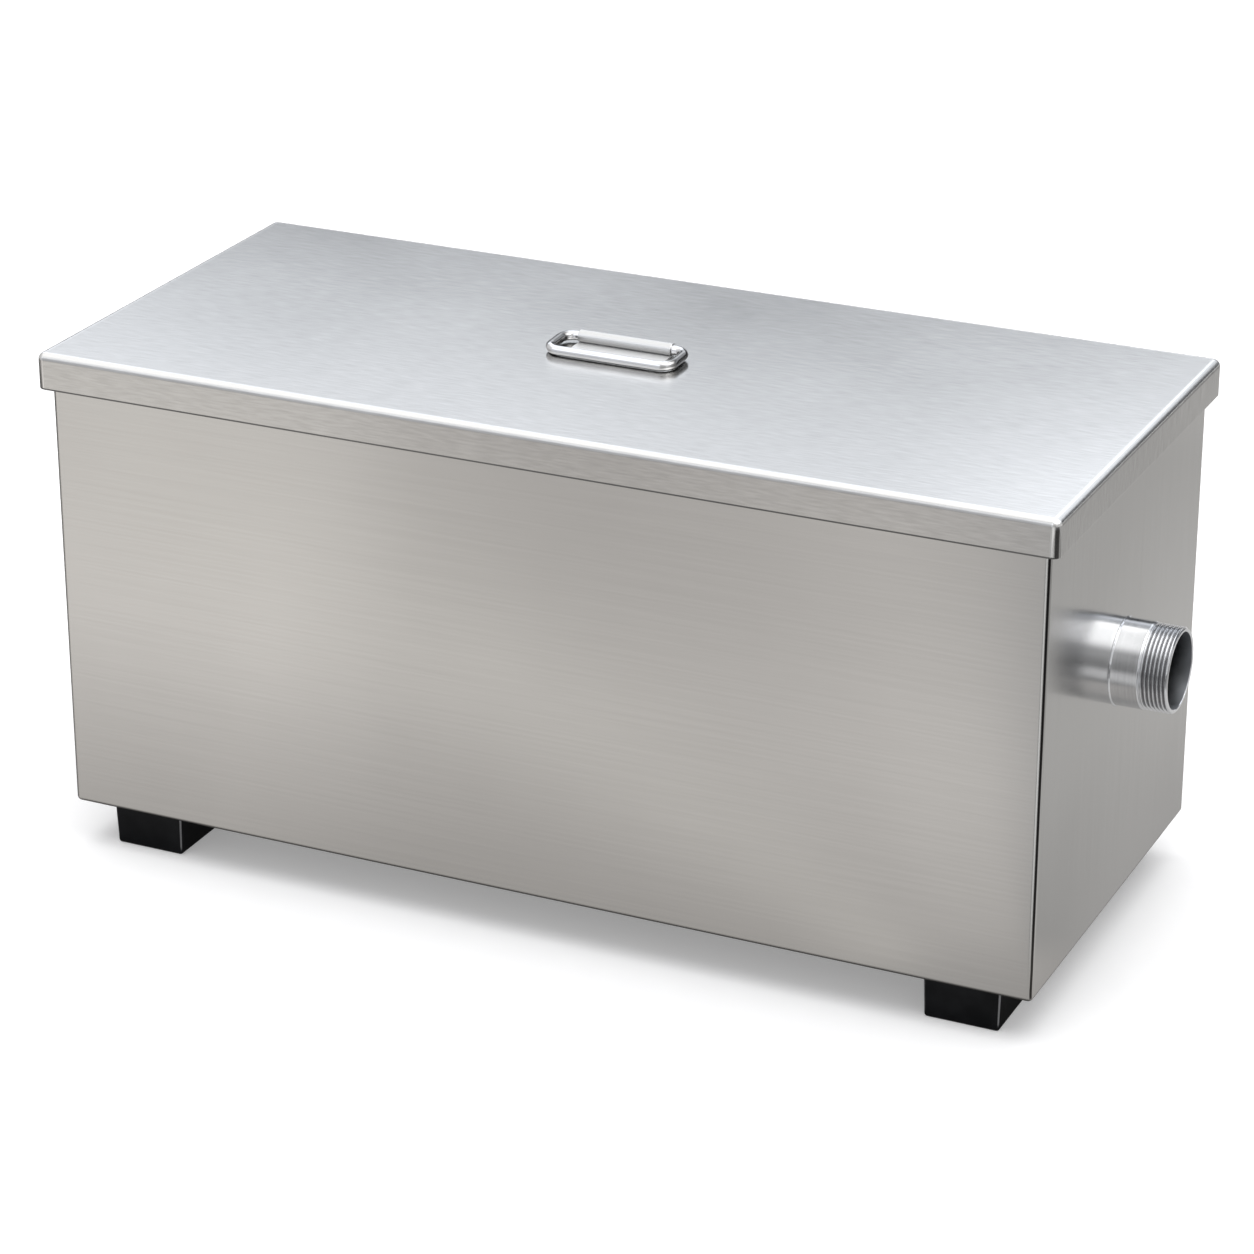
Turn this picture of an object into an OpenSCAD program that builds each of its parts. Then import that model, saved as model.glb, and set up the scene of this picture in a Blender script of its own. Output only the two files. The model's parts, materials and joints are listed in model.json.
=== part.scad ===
// Under-sink grease trap of folded stainless sheet.
// Millimetres. The origin is on the floor under the middle of the tank, with +X towards the outlet,
// +Y towards the back and +Z up.

/* [Tank] */
// Outside length of the tank from its inlet end to its outlet end
tank_l = 588; // [500:1:760]
// Outside width of the tank from front to back
tank_w = 258; // [220:1:360]
// Height of the tank from the underside of its floor to the top of its rim
tank_h = 272; // [250:1:360]
// Thickness of the tank's sheet
tank_t = 1.2; // [0.8:0.1:2]
// Outside radius of the tank's folds
tank_fold_r = 3; // [2.2:0.1:5]
// Width of the rim that is turned inwards round the mouth
rim_w = 15; // [12:1:20]
// Corner radius of the mouth
mouth_r = 3; // [1:0.5:8]

/* [Lid] */
// Room between the tank's walls and the lid's skirt
lid_gap = 4.8; // [2:0.1:8]
// Thickness of the lid's sheet
lid_t = 1.2; // [0.8:0.1:2]
// Depth of the skirt below the lid's top
skirt_h = 21; // [14:1:40]
// Outside radius of the fold between the lid's top and its skirt
lid_fold_r = 4; // [2.4:0.1:6]
// Outside radius of the skirt's upright corners
lid_corner_r = 5; // [2.4:0.1:10]
// Thickness of the sealing strip between the lid and the rim
seal_t = 3; // [2:0.5:6]
// Distance of the sealing strip's edges from the rim's fold and from the mouth
seal_edge = 1; // [0.5:0.1:2]

/* [Lid handle] */
// Place of the handle's middle along the lid, from the lid's middle
handle_x = -5; // [-60:1:60]
// Place of the ring's pivot across the lid, from the lid's middle
handle_y = 9; // [-40:1:60]
// Length of the ring over its wire
ring_l = 80; // [70:1:120]
// Width of the ring over its wire
ring_w = 31; // [28:1:60]
// Diameter of the ring's wire
wire_d = 5.5; // [4:0.1:7]
// Bend radius of the ring's corners to the middle of the wire
ring_bend_r = 7.5; // [6:0.5:11]
// Thickness of the clip's sheet
clip_t = 1; // [0.8:0.1:1.6]
// Gap between the clip's flat tail and the ring's front bar as it lies down
tail_gap = 2.75; // [1:0.25:10]
// Distance of the clip's ends from the bends of the ring
clip_end_gap = 1.5; // [1:0.5:8]
// Angle between the rolled end of the clip's eye and its tail
clip_slit_deg = 50; // [20:5:80]
// Radial running room between the ring's wire and the clip's eye
pivot_gap = 0.08; // [0.03:0.01:0.1]
// Room between the lid and the front of the ring as it lies down
ring_lift = 0.3; // [0.1:0.1:1]

/* [Pipe stubs] */
// Outside diameter of the pipe
pipe_d = 48.3; // [42.4:0.1:60.3]
// Wall thickness of the pipe
pipe_t = 2.9; // [2.3:0.1:4]
// How far the crests of the thread lie inside the pipe's surface
thread_drop = 0.25; // [0:0.05:0.5]
// Length of the thread from the end of the stub
thread_l = 17; // [12:0.5:22]
// Length of a stub outside the tank
stub_out = 32; // [26:0.5:60]
// Length of the inlet stub inside the tank
inlet_in = 12; // [8:0.5:24]
// Length of the outlet stub inside the tank
outlet_in = 5; // [4:0.5:24]
// Chamfer on the end of the thread
thread_chamfer = 1; // [0.5:0.1:1.5]
// Leg of the welds round a stub
weld_leg = 1.2; // [0.8:0.1:3]
// Radial room between a stub and its hole in the tank's end
stub_fit = 0.3; // [0.1:0.05:0.6]
// Height of the outlet's middle above the underside of the tank's floor
outlet_h = 146; // [130:1:180]
// How much higher the inlet lies than the outlet
inlet_rise = 22; // [0:1:50]

/* [Baffles] */
// Distance from the inlet end's inner face to the inlet baffle
inlet_room = 170; // [140:1:200]
// Distance from the outlet end's inner face to the outlet baffle
outlet_room = 110; // [60:1:150]
// Thickness of the baffles' sheet
baffle_t = 1.2; // [0.8:0.1:2]
// Gap that the water passes through under each baffle
underflow = 45; // [25:1:80]
// Gap between the rim and the top of each baffle
baffle_headroom = 25; // [15:1:50]
// Width of the flanges that fix a baffle to the tank's walls
baffle_flange = 14; // [8:1:25]
// Width of the stiffening fold along the top of a baffle
baffle_lip = 10; // [6:1:20]

/* [Basket] */
// Depth of the basket
basket_h = 95; // [60:1:110]
// Thickness of the basket's sheet
basket_t = 1; // [0.6:0.1:1.5]
// Room between the inlet end's inner face and the basket
basket_inlet_gap = 7; // [4:0.5:12]
// Room between the basket and the inlet baffle
basket_baffle_gap = 14; // [8:0.5:25]
// Room at each side between the basket, its ledges and the mouth
basket_play = 1.5; // [0.5:0.1:3]
// Distance of the basket's flanges below the inlet stub's weld
basket_drop = 5; // [2:0.5:20]
// Diameter of the basket's holes
hole_d = 10; // [6:0.5:14]
// Distance between the basket's holes
hole_pitch = 20; // [17:0.5:30]
// Plain margin between the basket's edges and the middles of its first holes
hole_margin = 14; // [10:0.5:20]
// Width of the ledges that carry the basket
ledge_w = 26; // [23:0.5:30]
// Height of a ledge's upright leg
ledge_leg = 18; // [10:1:30]
// Thickness of a ledge's sheet
ledge_t = 1.5; // [1:0.1:3]
// Distance of a ledge's ends from the inlet end and the inlet baffle
ledge_end_gap = 8; // [4:1:30]
// Diameter of the basket handle's wire
arch_wire_d = 5; // [3:0.1:8]
// Height of the basket handle above the basket's flanges
arch_h = 58; // [45:1:75]
// Bend radius of the basket handle to the middle of its wire
arch_bend_r = 22; // [10:1:40]
// Length of the basket handle's legs inside the basket
arch_leg = 24; // [12:1:50]

/* [Feet] */
// Width of a foot at its top
foot_w = 45; // [34:1:70]
// Height of a foot
foot_h = 27; // [24:1:60]
// How far each side of a foot leans inwards towards the floor
foot_draft = 1; // [0.2:0.1:3]
// Radius of a foot's upright edges
foot_edge_r = 3; // [1:0.5:6]
// Radius of a foot's bottom edge
foot_toe_r = 2; // [0.5:0.1:4]
// Distance from the tank's ends to the feet
foot_inset_x = 20; // [8:1:60]
// Distance from the tank's front and back to the feet
foot_inset_y = 9; // [7:1:40]
// Thickness of the web that a foot is clamped by
foot_web = 10; // [6:0.5:12]
// Diameter of the pocket in a foot's underside
pocket_d = 20; // [18.5:0.5:26]

/* [Foot fasteners] */
// Diameter of a stud
stud_d = 6; // [5:0.5:7]
// Room round a stud in its foot
stud_room = 0.4; // [0.2:0.05:1]
// Room round a stud in its washer
washer_room = 0.2; // [0.1:0.05:0.5]
// Room round a stud in its nut
nut_room = 0.1; // [0.05:0.05:0.2]
// Diameter of a washer
washer_d = 16; // [13:0.5:18]
// Thickness of a washer
washer_t = 1.5; // [1:0.1:2.5]
// Width of a nut across its flats
nut_flats = 10; // [9:0.5:13]
// Height of a nut
nut_h = 5; // [4:0.5:6]
// Length of a stud past its nut
stud_end = 1.5; // [0.5:0.5:4]

/* [Hidden] */
$fn = 96;
// How far cutting shapes reach past the faces that they cut
cut = 1;
steel = [0.77, 0.76, 0.75];
bright_steel = [0.85, 0.85, 0.86];
inner_steel = [0.66, 0.66, 0.66];
black_plastic = [0.09, 0.09, 0.1];
grey_rubber = [0.25, 0.25, 0.26];

// Heights of the tank's faces and of the lid
rim_z = foot_h + tank_h;
floor_z = foot_h + tank_t;
lid_top_z = rim_z + seal_t + lid_t;

// Inner faces of the tank's walls, the mouth and the lid
wall_x = tank_l / 2 - tank_t;
wall_y = tank_w / 2 - tank_t;
mouth_l = tank_l - 2 * rim_w;
mouth_w = tank_w - 2 * rim_w;
lid_l = tank_l + 2 * (lid_gap + lid_t);
lid_w = tank_w + 2 * (lid_gap + lid_t);

// The ring's pivot, how far the ring reaches from it, and the clip's strip
ring_reach = ring_w - wire_d;
eye_r = wire_d / 2 + pivot_gap;
pivot_z = lid_top_z + clip_t + eye_r;
ring_tilt = asin((clip_t + pivot_gap - ring_lift) / ring_reach);
clip_l = ring_l - wire_d - 2 * (ring_bend_r + clip_end_gap);
clip_tail = ring_reach - wire_d / 2 - tail_gap;

// Pipe stubs
pipe_r = pipe_d / 2;
outlet_z = foot_h + outlet_h;
inlet_z = outlet_z + inlet_rise;

// Baffles
inlet_baffle_x = -wall_x + inlet_room;
outlet_baffle_x = wall_x - outlet_room;
baffle_low_z = floor_z + underflow;
baffle_top_z = rim_z - tank_t - baffle_headroom;

// Basket, hung by its flanges on the ledges
ledge_z = inlet_z - pipe_r - weld_leg - basket_drop - basket_t;
basket_top_z = ledge_z + basket_t;
basket_low_x = -wall_x + basket_inlet_gap;
basket_l = inlet_room - basket_inlet_gap - basket_baffle_gap;
basket_w = 2 * (wall_y - ledge_w - basket_play);
basket_flange_w = mouth_w - 2 * basket_play;
basket_mid_x = basket_low_x + basket_l / 2;

// Feet
foot_x = tank_l / 2 - foot_inset_x - foot_w / 2;
foot_y = tank_w / 2 - foot_inset_y - foot_w / 2;
web_low_z = foot_h - foot_web;
nut_top_z = web_low_z - washer_t;
stud_low_z = nut_top_z - nut_h - stud_end;

// Rectangle with round corners, centred
module round_rect(l, w, r) {
    square([l - 2 * r, w], center = true);
    square([l, w - 2 * r], center = true);
    for (sx = [-1, 1], sy = [-1, 1])
        translate([sx * (l / 2 - r), sy * (w / 2 - r)])
            circle(r);
}

// Carries a profile drawn as seen from the front along Y
module along_y(length) {
    rotate([90, 0, 0])
        linear_extrude(length, center = true)
            children();
}

// Carries a profile drawn in Y and Z along X
module along_x(length) {
    rotate([90, 0, 90])
        linear_extrude(length, center = true)
            children();
}

// Block with every edge round, standing on z = 0
module folded_block(l, w, h, fold_r, corner_r) {
    intersection() {
        linear_extrude(h)
            round_rect(l, w, corner_r);
        translate([0, 0, h / 2])
            along_y(w + 2 * cut)
                round_rect(l, h, fold_r);
        translate([0, 0, h / 2])
            along_x(l + 2 * cut)
                round_rect(w, h, fold_r);
    }
}

// Block with round upright and top edges, from z = 0 up to z = h
module pan_block(l, w, h, fold_r, corner_r) {
    intersection() {
        linear_extrude(h)
            round_rect(l, w, corner_r);
        along_y(w + 2 * cut)
            round_rect(l, 2 * h, fold_r);
        along_x(l + 2 * cut)
            round_rect(w, 2 * h, fold_r);
    }
}

// Folded tank with its rim, mouth and the holes for the stubs
module tank() {
    color(steel)
        difference() {
            translate([0, 0, foot_h])
                folded_block(tank_l, tank_w, tank_h, tank_fold_r, tank_fold_r);
            translate([0, 0, floor_z])
                folded_block(2 * wall_x, 2 * wall_y, tank_h - 2 * tank_t,
                             tank_fold_r - tank_t, tank_fold_r - tank_t);
            translate([0, 0, rim_z - tank_t - cut])
                linear_extrude(tank_t + 2 * cut)
                    round_rect(mouth_l, mouth_w, mouth_r);
            stub_hole(-tank_l / 2, inlet_z);
            stub_hole(tank_l / 2, outlet_z);
        }
}

// Hole for a stub through an end wall
module stub_hole(x, z) {
    translate([x, 0, z])
        rotate([0, 90, 0])
            cylinder(r = pipe_r + stub_fit, h = 4 * tank_t, center = true);
}

// Lid folded as a pan
module lid() {
    color(steel)
        translate([0, 0, lid_top_z - skirt_h])
            difference() {
                pan_block(lid_l, lid_w, skirt_h, lid_fold_r, lid_corner_r);
                translate([0, 0, -cut])
                    pan_block(lid_l - 2 * lid_t, lid_w - 2 * lid_t, skirt_h - lid_t + cut,
                              lid_fold_r - lid_t, lid_corner_r - lid_t);
            }
}

// Strip that lies on the flat of the rim
module lid_seal() {
    outer = tank_fold_r + seal_edge;
    inner = rim_w - seal_edge;
    color(grey_rubber)
        translate([0, 0, rim_z])
            linear_extrude(seal_t)
                difference() {
                    square([tank_l - 2 * outer, tank_w - 2 * outer], center = true);
                    square([tank_l - 2 * inner, tank_w - 2 * inner], center = true);
                }
}

// Sheet rolled round the ring's back bar, with a flat tail on the lid
module handle_clip() {
    roll_r = eye_r + clip_t;
    slit_reach = 2 * roll_r;
    slit_end = 270 - clip_slit_deg;
    color(bright_steel)
        translate([handle_x, handle_y, pivot_z])
            along_x(clip_l) {
                difference() {
                    circle(roll_r);
                    circle(eye_r);
                    polygon([[0, 0],
                             slit_reach * [cos(slit_end), sin(slit_end)],
                             [-slit_reach, -slit_reach],
                             [0, -slit_reach]]);
                }
                translate([-clip_tail, -roll_r])
                    square([clip_tail, clip_t]);
            }
}

// Closed ring of bent wire, lying forwards from its pivot
module handle_ring() {
    half_l = (ring_l - wire_d) / 2;
    color(bright_steel)
        translate([handle_x, handle_y, pivot_z])
            rotate([ring_tilt, 0, 0])
                translate([0, -ring_reach / 2, 0])
                    wire_loop(half_l, ring_reach / 2, ring_bend_r, wire_d / 2);
}

// Wire bent to a rectangle with round corners, flat in X and Y
module wire_loop(half_l, half_w, bend_r, r) {
    straight_l = 2 * (half_l - bend_r);
    straight_w = 2 * (half_w - bend_r);
    for (side = [-1, 1]) {
        translate([0, side * half_w, 0])
            rotate([0, 90, 0])
                cylinder(r = r, h = straight_l, center = true);
        translate([side * half_l, 0, 0])
            rotate([90, 0, 0])
                cylinder(r = r, h = straight_w, center = true);
    }
    for (turn = [0, 1, 2, 3])
        translate([(turn == 0 || turn == 3 ? 1 : -1) * straight_l / 2,
                   (turn < 2 ? 1 : -1) * straight_w / 2, 0])
            rotate([0, 0, 90 * turn])
                wire_bend(bend_r, r);
}

// Quarter turn of wire from +X to +Y
module wire_bend(bend_r, r) {
    rotate_extrude(angle = 90)
        translate([bend_r, 0])
            circle(r);
}

// Threaded stub along +X, with the outer face of the end wall at x = 0 and its length inside given
module stub(inside) {
    bore_r = pipe_r - pipe_t;
    thread_r = pipe_r - thread_drop;
    rotate([0, 90, 0])
        rotate_extrude()
            polygon([[bore_r, -tank_t - inside],
                     [pipe_r, -tank_t - inside],
                     [pipe_r, -tank_t - weld_leg],
                     [pipe_r + weld_leg, -tank_t],
                     [pipe_r, -tank_t],
                     [pipe_r, 0],
                     [pipe_r + weld_leg, 0],
                     [pipe_r, weld_leg],
                     [pipe_r, stub_out - thread_l],
                     [thread_r, stub_out - thread_l],
                     [thread_r, stub_out - thread_chamfer],
                     [thread_r - thread_chamfer, stub_out],
                     [bore_r, stub_out]]);
}

module inlet_stub() {
    color(bright_steel)
        translate([-tank_l / 2, 0, inlet_z])
            rotate([0, 0, 180])
                stub(inlet_in);
}

module outlet_stub() {
    color(bright_steel)
        translate([tank_l / 2, 0, outlet_z])
            stub(outlet_in);
}

// Baffle whose plate starts at x = 0, with its flanges and its top fold towards +X
module baffle() {
    height = baffle_top_z - baffle_low_z;
    translate([0, -wall_y, baffle_low_z]) {
        cube([baffle_t, 2 * wall_y, height]);
        cube([baffle_flange, baffle_t, height]);
        translate([0, 2 * wall_y - baffle_t, 0])
            cube([baffle_flange, baffle_t, height]);
        translate([0, 0, height - baffle_t])
            cube([baffle_lip, 2 * wall_y, baffle_t]);
    }
}

module inlet_baffle() {
    color(inner_steel)
        translate([inlet_baffle_x, 0, 0])
            baffle();
}

module outlet_baffle() {
    color(inner_steel)
        translate([outlet_baffle_x, 0, 0])
            mirror([1, 0, 0])
                baffle();
}

// Places of a row of holes along a length, centred, as many as fit inside the margins
function hole_row(length) =
    let (gaps = floor((length - 2 * hole_margin) / hole_pitch))
    [for (i = [0 : gaps]) (i - gaps / 2) * hole_pitch];

// Perforated basket with flanges along its front and back
module basket() {
    low_z = basket_top_z - basket_h;
    mid_z = basket_top_z - basket_h / 2;
    color(inner_steel)
        difference() {
            union() {
                translate([basket_low_x, -basket_w / 2, low_z])
                    cube([basket_l, basket_w, basket_h]);
                translate([basket_low_x, -basket_flange_w / 2, ledge_z])
                    cube([basket_l, basket_flange_w, basket_t]);
            }
            translate([basket_low_x + basket_t, -basket_w / 2 + basket_t, low_z + basket_t])
                cube([basket_l - 2 * basket_t, basket_w - 2 * basket_t, basket_h]);
            for (x = hole_row(basket_l), y = hole_row(basket_w))
                translate([basket_mid_x + x, y, low_z - cut])
                    cylinder(d = hole_d, h = basket_t + 2 * cut);
            for (x = hole_row(basket_l), z = hole_row(basket_h))
                translate([basket_mid_x + x, 0, mid_z + z])
                    rotate([90, 0, 0])
                        cylinder(d = hole_d, h = basket_w + 2 * cut, center = true);
            for (y = hole_row(basket_w), z = hole_row(basket_h))
                translate([basket_mid_x, y, mid_z + z])
                    rotate([0, 90, 0])
                        cylinder(d = hole_d, h = basket_l + 2 * cut, center = true);
        }
}

// Wire arch across the basket, with its legs along the inside of the front and back
module basket_handle() {
    r = arch_wire_d / 2;
    half_w = basket_w / 2 - basket_t - r;
    top_z = basket_top_z + arch_h - r;
    leg_low_z = basket_top_z - arch_leg;
    leg_top_z = top_z - arch_bend_r;
    color(bright_steel)
        translate([basket_mid_x, 0, 0]) {
            translate([0, 0, top_z])
                rotate([90, 0, 0])
                    cylinder(r = r, h = 2 * (half_w - arch_bend_r), center = true);
            for (turn = [0, 180])
                rotate([0, 0, turn]) {
                    translate([0, half_w, leg_low_z])
                        cylinder(r = r, h = leg_top_z - leg_low_z);
                    translate([0, half_w - arch_bend_r, leg_top_z])
                        rotate([90, 0, 90])
                            wire_bend(arch_bend_r, r);
                }
        }
}

// Angle along the front wall that carries one of the basket's flanges
module basket_ledge() {
    length = inlet_room - 2 * ledge_end_gap;
    color(inner_steel)
        translate([-wall_x + inlet_room / 2, -wall_y, ledge_z])
            along_x(length)
                polygon([[0, 0],
                         [ledge_w, 0],
                         [ledge_w, -ledge_t],
                         [ledge_t, -ledge_t],
                         [ledge_t, -ledge_leg],
                         [0, -ledge_leg]]);
}

module basket_ledge_front() {
    basket_ledge();
}

module basket_ledge_back() {
    mirror([0, 1, 0])
        basket_ledge();
}

// Side view of a foot: leaning sides and round toes
module foot_profile() {
    lean = atan(foot_draft / foot_h);
    low_half = foot_w / 2 - foot_draft;
    toe_x = low_half + foot_toe_r * tan(lean) - foot_toe_r / cos(lean);
    side_x = toe_x + foot_toe_r * cos(lean);
    side_z = foot_toe_r - foot_toe_r * sin(lean);
    polygon([[-toe_x, 0], [toe_x, 0], [side_x, side_z], [foot_w / 2, foot_h],
             [-foot_w / 2, foot_h], [-side_x, side_z]]);
    for (side = [-1, 1])
        translate([side * toe_x, foot_toe_r])
            circle(foot_toe_r);
}

// Moulded foot with a stud hole and a pocket for its nut
module foot(sx, sy) {
    color(black_plastic)
        translate([sx * foot_x, sy * foot_y, 0])
            difference() {
                intersection() {
                    linear_extrude(foot_h)
                        round_rect(foot_w, foot_w, foot_edge_r);
                    along_y(foot_w + 2 * cut)
                        foot_profile();
                    along_x(foot_w + 2 * cut)
                        foot_profile();
                }
                translate([0, 0, -cut])
                    cylinder(d = pocket_d, h = web_low_z + cut);
                cylinder(d = stud_d + 2 * stud_room, h = foot_h + cut);
            }
}

// Places its children at all four feet
module at_feet() {
    for (sx = [-1, 1], sy = [-1, 1])
        translate([sx * foot_x, sy * foot_y, 0])
            children();
}

module foot_studs() {
    color(bright_steel)
        at_feet()
            translate([0, 0, stud_low_z])
                cylinder(d = stud_d, h = foot_h - stud_low_z);
}

module foot_washers() {
    color(bright_steel)
        at_feet()
            translate([0, 0, nut_top_z])
                linear_extrude(washer_t)
                    difference() {
                        circle(d = washer_d);
                        circle(d = stud_d + 2 * washer_room);
                    }
}

module foot_nuts() {
    color(bright_steel)
        at_feet()
            translate([0, 0, nut_top_z - nut_h])
                linear_extrude(nut_h)
                    difference() {
                        circle(d = nut_flats / cos(30), $fn = 6);
                        circle(d = stud_d + 2 * nut_room);
                    }
}

tank();
lid();
lid_seal();
handle_clip();
handle_ring();
inlet_stub();
outlet_stub();
inlet_baffle();
outlet_baffle();
basket();
basket_handle();
basket_ledge_front();
basket_ledge_back();
foot(-1, -1);  // foot_front_left
foot(1, -1);  // foot_front_right
foot(-1, 1);  // foot_back_left
foot(1, 1);  // foot_back_right
foot_studs();
foot_washers();
foot_nuts();
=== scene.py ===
# %% [markdown]
# # A grease trap of folded stainless sheet
#
# The real thing stands under a kitchen sink: a brushed steel box with a lift-off lid, a fold-down ring
# handle, a threaded pipe stub in each end and four black moulded feet. The solids come from the packed
# model and stay where they are. This script gives every surface its finish, and makes the outer shells
# again as fine surfaces, because a brushed fold, a screw thread and a bent wire all live on how smoothly
# they turn in the light.

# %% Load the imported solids
import json
import math

import bmesh
import bpy
import numpy as np
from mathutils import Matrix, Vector

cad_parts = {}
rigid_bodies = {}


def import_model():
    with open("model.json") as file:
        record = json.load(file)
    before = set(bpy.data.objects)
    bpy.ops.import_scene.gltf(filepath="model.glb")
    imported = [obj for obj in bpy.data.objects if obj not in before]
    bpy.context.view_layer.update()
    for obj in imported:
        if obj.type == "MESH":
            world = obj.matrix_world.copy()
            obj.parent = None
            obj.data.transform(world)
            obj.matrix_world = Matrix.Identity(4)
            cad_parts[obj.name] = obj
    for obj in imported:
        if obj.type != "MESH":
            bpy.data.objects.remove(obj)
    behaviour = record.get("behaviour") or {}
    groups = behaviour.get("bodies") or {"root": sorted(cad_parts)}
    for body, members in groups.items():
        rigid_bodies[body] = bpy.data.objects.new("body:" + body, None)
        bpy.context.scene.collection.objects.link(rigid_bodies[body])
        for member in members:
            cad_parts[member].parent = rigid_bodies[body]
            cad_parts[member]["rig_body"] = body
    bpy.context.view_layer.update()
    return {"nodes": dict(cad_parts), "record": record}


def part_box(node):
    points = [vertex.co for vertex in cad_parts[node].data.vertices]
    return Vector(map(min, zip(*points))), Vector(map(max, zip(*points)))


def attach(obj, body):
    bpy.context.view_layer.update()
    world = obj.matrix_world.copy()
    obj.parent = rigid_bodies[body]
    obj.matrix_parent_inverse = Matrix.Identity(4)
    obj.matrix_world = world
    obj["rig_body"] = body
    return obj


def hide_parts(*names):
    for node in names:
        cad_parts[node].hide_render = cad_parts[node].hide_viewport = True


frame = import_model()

MM = 0.001

# %% [markdown]
# ## Sewing grids into a mesh
#
# Every new piece is one or more grids of points. A grid is worked out with numpy as a whole array, so a
# shape is a short formula and not a loop over vertices. Where two grids meet they share the same points,
# and merging those points sews the piece shut. Each point also carries a place on the flat sheet before
# folding: the brushing of sheet steel runs straight on the flat blank, so a pattern drawn there turns with
# the folds as the real grain does.

# %% Grids to pieces
FLAT_SHEET = "flat_sheet"
SEAM = 0.002 * MM
SHARP_EDGE = math.radians(38)


def grid_faces(rows, columns, first):
    """Quads between neighbouring rows and columns of a grid whose points are numbered row by row."""
    number = first + np.arange(rows * columns).reshape(rows, columns)
    corners = [number[:-1, :-1], number[:-1, 1:], number[1:, 1:], number[1:, :-1]]
    return np.stack(corners, axis=-1).reshape(-1, 4)


def sewn_mesh(name, patches):
    """Puts patches, each a grid of points with its flat places, into one mesh and merges shared points."""
    points = np.concatenate([grid.reshape(-1, 3) for grid, flat in patches])
    flats = np.concatenate([flat.reshape(-1, 2) for grid, flat in patches])
    counts = [grid.shape[0] * grid.shape[1] for grid, flat in patches]
    firsts = np.cumsum([0] + counts[:-1])
    faces = np.concatenate([grid_faces(grid.shape[0], grid.shape[1], first)
                            for (grid, flat), first in zip(patches, firsts)])
    mesh = bpy.data.meshes.new(name)
    mesh.from_pydata(points.tolist(), [], faces.tolist())
    layer = mesh.uv_layers.new(name=FLAT_SHEET)
    layer.data.foreach_set("uv", flats[faces.ravel()].astype(np.float32).ravel())
    work = bmesh.new()
    work.from_mesh(mesh)
    bmesh.ops.remove_doubles(work, verts=work.verts, dist=SEAM)
    bmesh.ops.recalc_face_normals(work, faces=work.faces)
    open_edges = sum(not edge.is_manifold for edge in work.edges)
    work.to_mesh(mesh)
    work.free()
    print(name, "faces:", len(mesh.polygons), "open edges:", open_edges)
    mesh.shade_smooth()
    mesh.set_sharp_from_angle(angle=SHARP_EDGE)
    return mesh


def add_piece(name, patches, node, material):
    """Makes a piece that stands for a CAD node, rides on that node's body and wears a finish."""
    piece = bpy.data.objects.new(name, sewn_mesh(name, patches))
    bpy.context.scene.collection.objects.link(piece)
    piece.data.materials.append(material)
    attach(piece, frame["nodes"][node]["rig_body"])
    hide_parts(node)
    flats_first = piece.modifiers.new("flats_first", "WEIGHTED_NORMAL")
    flats_first.keep_sharp = True
    return piece


# %% [markdown]
# ## Walking round a rectangle with round corners
#
# The tank, the lid, the feet and the ring handle are all rectangles with round corners seen from above.
# One walk serves them all. Along a side the corner's centre slides while the edge keeps facing the same
# way. At a corner the centre stays and the facing turns a quarter. Any such rectangle is then the centre's
# place plus the radius times the facing.

# %% The walk and its rings
def rectangle_walk(side_steps, corner_steps):
    """Centre signs and facings, as complex numbers, anticlockwise from the low end of the +X side.

    The first quarter slides the centre from 1-1j to 1+1j and then turns the facing from 1 to 1j. The other
    quarters are the first one turned by 90 degrees, and the first point is repeated to close the walk."""
    slide = np.linspace(-1, 1, side_steps, endpoint=False)
    turn = np.linspace(0, math.pi / 2, corner_steps, endpoint=False)
    centre = np.concatenate([1 + 1j * slide, np.full(corner_steps, 1 + 1j)])
    facing = np.concatenate([np.ones(side_steps, complex), np.exp(1j * turn)])
    quarters = 1j ** np.arange(4)[:, None]
    centre = (quarters * centre).ravel()
    facing = (quarters * facing).ravel()
    return np.append(centre, centre[0]), np.append(facing, facing[0])


def rings(walk, half, radius, z):
    """One row of points per rectangle: centre sign times (half size - radius), plus radius times facing."""
    centre, facing = walk
    room = half - radius[:, None]
    x = room[:, :1] * centre.real + radius[:, None] * facing.real
    y = room[:, 1:] * centre.imag + radius[:, None] * facing.imag
    return np.stack([x, y, np.broadcast_to(z[:, None], x.shape)], axis=-1)


def arc(inset, z, radius, start, end, steps=10):
    """An arc of a sheet's profile as (inset, height) rows; 0 degrees points up and 90 points outwards."""
    turn = np.radians(np.linspace(start, end, steps + 1))
    return np.stack([inset - radius * np.sin(turn), z + radius * np.cos(turn)], axis=-1)


def flat_places(walk, half, radius, profile):
    """Where a folded profile lies on the flat blank: the flat's edge plus the way along the profile."""
    centre, facing = walk
    way = np.concatenate([[0], np.cumsum(np.hypot(*np.diff(profile, axis=0).T))])
    u = (half[0] - radius) * centre.real + (radius + way[:, None]) * facing.real
    v = (half[1] - radius) * centre.imag + (radius + way[:, None]) * facing.imag
    return np.stack([u, v], axis=-1)


# %% [markdown]
# ## Brushed sheet steel
#
# The sheet is ground with a belt before it is folded. Seen close, that is thousands of fine scratches all
# running one way; seen from afar, it is a soft sheen with faint streaks. The finish has three layers of
# noise: fine scratches and broader streaks stretched along the blank's grain, and slow clouds over all of
# it. They steer the colour, the roughness and a slight bump. The highlight is stretched across the grain.
# The lid's folds carry a painted highlight, brighter than the rest, and a dark seam runs down the upright
# corners where the sides were welded; on the tank it is also a painted dark reflection down the corners.

# %% Node helpers
def link_in(tree, socket, value):
    """Joins another node's output to a socket, or sets the socket's own value."""
    if isinstance(value, bpy.types.NodeSocket):
        tree.links.new(value, socket)
    else:
        socket.default_value = value


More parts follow.
